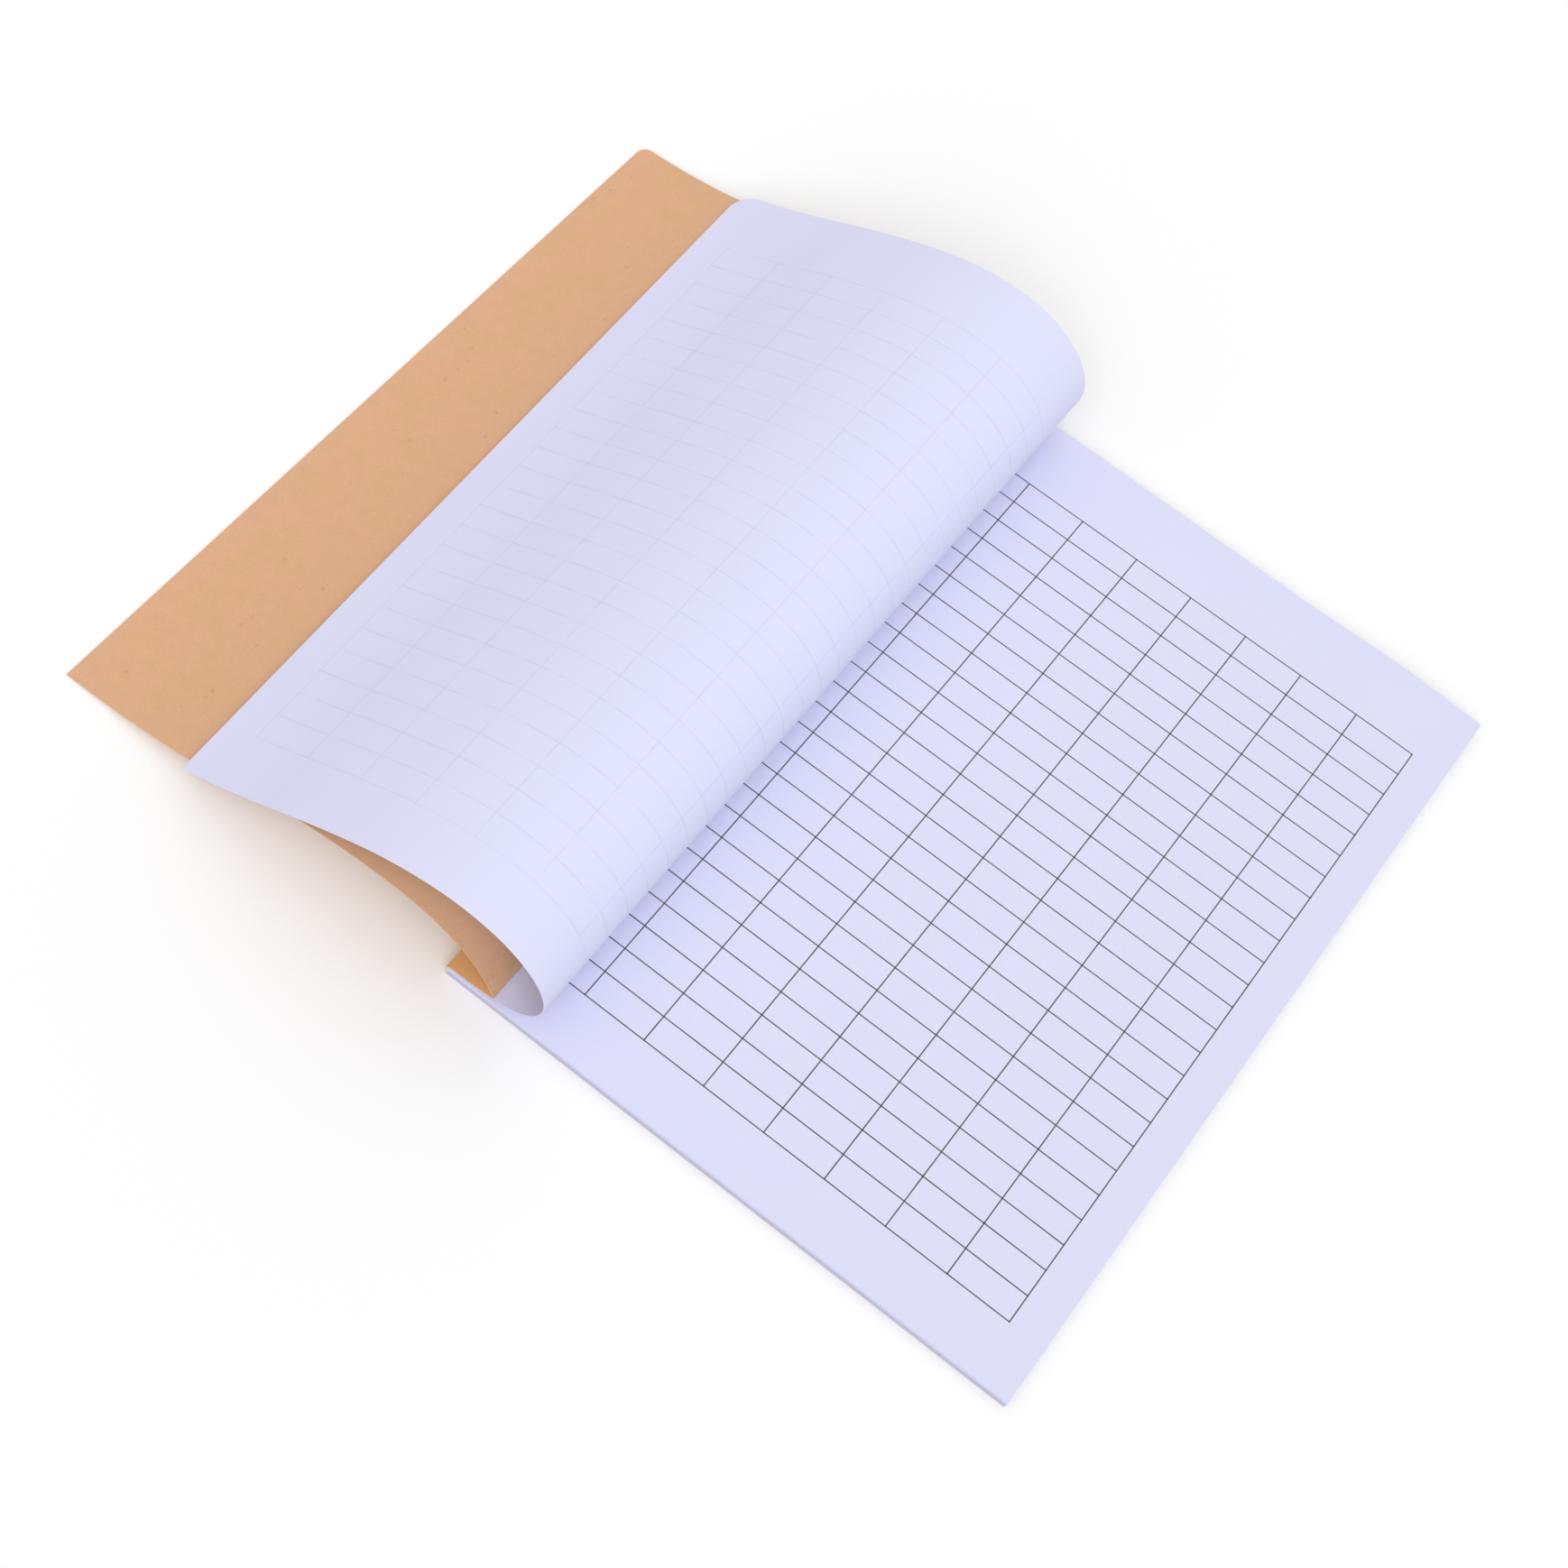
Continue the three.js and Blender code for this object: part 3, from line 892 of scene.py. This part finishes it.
class LEDGER_OT_stack_leaves(bpy.types.Operator):
    """Stack the other leaves, each cut a hair differently from its neighbours"""

    bl_idname = "ledger.stack_leaves"
    bl_label = "Stack Leaves"

    def execute(self, context):
        sizes, colours = context.scene.ledger_sizes, context.scene.ledger_colours
        front, back, edge = paper_finishes(colours, sizes)
        draws = np.random.default_rng(SEED)
        points, faces, kinds = [], [], []
        for name in FLAT_LEAVES:
            low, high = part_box(name)
            fore, near, far = draws.normal(0, CUT_SPREAD, 3)
            x1, x2, y1, y2 = low.x, high.x - abs(fore), low.y + abs(near), high.y - abs(far)
            base = len(points)
            for z in (low.z, high.z):
                points.extend(((x1, y1, z), (x2, y1, z), (x2, y2, z), (x1, y2, z)))
            faces.extend(tuple(base + corner for corner in face) for face in (
                (4, 5, 6, 7), (3, 2, 1, 0), (0, 1, 5, 4), (1, 2, 6, 5), (2, 3, 7, 6), (3, 0, 4, 7)))
            kinds.extend((0, 1, 2, 2, 2, 2))
        mesh = bpy.data.meshes.new("leaf_stack")
        mesh.from_pydata(points, [], faces)
        for finish in (front, back, edge):
            mesh.materials.append(finish)
        mesh.polygons.foreach_set("material_index", kinds)
        corners = np.array(points)[np.array(faces).ravel()]
        flat = np.stack((corners[:, 0] - BACK_LOW.x, corners[:, 1] - BACK_LOW.y), -1) / MILLIMETRE
        mesh.uv_layers.new(name="Sheet").data.foreach_set("uv", flat.astype(np.float32).ravel())
        mesh.update()
        piece = bpy.data.objects.new("leaf_stack", mesh)
        context.scene.collection.objects.link(piece)
        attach(piece, "book_block")
        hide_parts(*FLAT_LEAVES)
        return {"FINISHED"}


class LEDGER_OT_glue_spine(bpy.types.Operator):
    """Finish the adhesive along the spine"""

    bl_idname = "ledger.glue_spine"
    bl_label = "Glue Spine"

    def execute(self, context):
        glue = frame["nodes"]["spine_glue"]
        glue.data.materials.clear()
        glue.data.materials.append(stock("adhesive", adhesive, context.scene.ledger_colours))
        return {"FINISHED"}


class LEDGER_OT_set_stage(bpy.types.Operator):
    """Set the floor, the light and the camera"""

    bl_idname = "ledger.set_stage"
    bl_label = "Set Stage"

    def execute(self, context):
        stage = context.scene.ledger_stage
        self.lay_floor()
        self.hang_lamp(stage)
        self.light_room(stage)
        self.place_camera(stage)
        context.scene.view_settings.view_transform = "Standard"
        return {"FINISHED"}

    def lay_floor(self):
        """A white floor just under the book."""
        depth = BACK_LOW.z - FLOOR_GAP
        corners = ((-1, -1), (1, -1), (1, 1), (-1, 1))
        mesh = bpy.data.meshes.new("floor")
        mesh.from_pydata([(x * FLOOR_HALF, y * FLOOR_HALF, depth) for x, y in corners], [],
                         [(0, 1, 2, 3)])
        material = bpy.data.materials.new("floor")
        material.use_nodes = True
        shader = material.node_tree.nodes["Principled BSDF"]
        shader.inputs["Base Color"].default_value = WHITE
        shader.inputs["Roughness"].default_value = 1.0
        shader.inputs["Specular IOR Level"].default_value = 0.0
        mesh.materials.append(material)
        floor = bpy.data.objects.new("floor", mesh)
        bpy.context.scene.collection.objects.link(floor)

    def hang_lamp(self, stage):
        """A soft sun. One of strength pi, right overhead, shows a level surface's own colour."""
        data = bpy.data.lights.new("lamp", "SUN")
        data.energy = stage.lamp * math.pi / math.sin(stage.lamp_height)
        data.angle = stage.lamp_spread
        lamp = bpy.data.objects.new("lamp", data)
        lamp.rotation_euler = (math.pi / 2 - stage.lamp_height, 0, stage.lamp_heading + math.pi / 2)
        bpy.context.scene.collection.objects.link(lamp)

    def light_room(self, stage):
        """The room's light, brighter overhead. The camera and reflections see it as plain white."""
        world = bpy.data.worlds.new("room")
        world.use_nodes = True
        tree = world.node_tree
        background = tree.nodes["Background"]
        path = tree.nodes.new("ShaderNodeLightPath")
        seen = path.outputs["Is Camera Ray"]
        for ray in ("Is Glossy Ray", "Is Transmission Ray"):
            either = tree.nodes.new("ShaderNodeMath")
            either.operation = "MAXIMUM"
            tree.links.new(seen, either.inputs[0])
            tree.links.new(path.outputs[ray], either.inputs[1])
            seen = either.outputs[0]
        place = tree.nodes.new("ShaderNodeTexCoord")
        parts = tree.nodes.new("ShaderNodeSeparateXYZ")
        tree.links.new(place.outputs["Generated"], parts.inputs[0])
        # A level surface gets a sky's even part and two thirds of what it adds at the top
        height = tree.nodes.new("ShaderNodeMath")
        height.operation = "MAXIMUM"
        height.inputs[1].default_value = 0.0
        tree.links.new(parts.outputs["Z"], height.inputs[0])
        sky = tree.nodes.new("ShaderNodeMath")
        sky.operation = "MULTIPLY_ADD"
        sky.inputs[1].default_value = stage.fill * stage.overhead
        sky.inputs[2].default_value = stage.fill * (1 - stage.overhead * 2 / 3)
        tree.links.new(height.outputs[0], sky.inputs[0])
        strength = tree.nodes.new("ShaderNodeMapRange")
        tree.links.new(sky.outputs[0], strength.inputs["To Min"])
        strength.inputs["To Max"].default_value = 1.0
        tree.links.new(seen, strength.inputs["Value"])
        tree.links.new(strength.outputs[0], background.inputs["Strength"])
        background.inputs["Color"].default_value = WHITE
        bpy.context.scene.world = world

    def place_camera(self, stage):
        """The photo's camera."""
        data = bpy.data.cameras.new("camera")
        data.lens = stage.lens
        data.shift_x = stage.shift_x
        data.dof.use_dof = False
        data.clip_start = 0.01
        camera = bpy.data.objects.new("camera", data)
        camera.location = stage.camera_place
        camera.rotation_euler = stage.camera_turn
        bpy.context.scene.collection.objects.link(camera)
        bpy.context.scene.camera = camera


OPERATORS = (
    LEDGER_OT_set_stage,
    LEDGER_OT_fold_cover,
    LEDGER_OT_curl_leaf,
    LEDGER_OT_lay_page,
    LEDGER_OT_stack_leaves,
    LEDGER_OT_glue_spine,
)


class LEDGER_PT_sidebar(bpy.types.Panel):
    """Lists the steps that make the book, with its sizes, colours and stage"""

    bl_idname = "LEDGER_PT_sidebar"
    bl_label = "Ledger Book"
    bl_space_type = "VIEW_3D"
    bl_region_type = "UI"
    bl_category = "Ledger"

    def draw(self, context):
        for operator in OPERATORS:
            self.layout.operator(operator.bl_idname)
        for group_name, group in PROPERTIES.items():
            box = self.layout.box()
            for name in group.__annotations__:
                box.prop(getattr(context.scene, group_name), name)


PROPERTIES = {
    "ledger_sizes": LedgerSizes,
    "ledger_colours": LedgerColours,
    "ledger_stage": LedgerStage,
}


CLASSES = (*PROPERTIES.values(), *OPERATORS, LEDGER_PT_sidebar)


def register():
    for kind in CLASSES:
        bpy.utils.register_class(kind)
    for name, group in PROPERTIES.items():
        setattr(bpy.types.Scene, name, PointerProperty(type=group))


def unregister():
    for name in PROPERTIES:
        delattr(bpy.types.Scene, name)
    for kind in reversed(CLASSES):
        bpy.utils.unregister_class(kind)


def main():
    register()
    bpy.ops.ledger.set_stage()
    bpy.ops.ledger.fold_cover()
    bpy.ops.ledger.curl_leaf()
    bpy.ops.ledger.lay_page()
    bpy.ops.ledger.stack_leaves()
    bpy.ops.ledger.glue_spine()


if __name__ == "__main__":
    main()
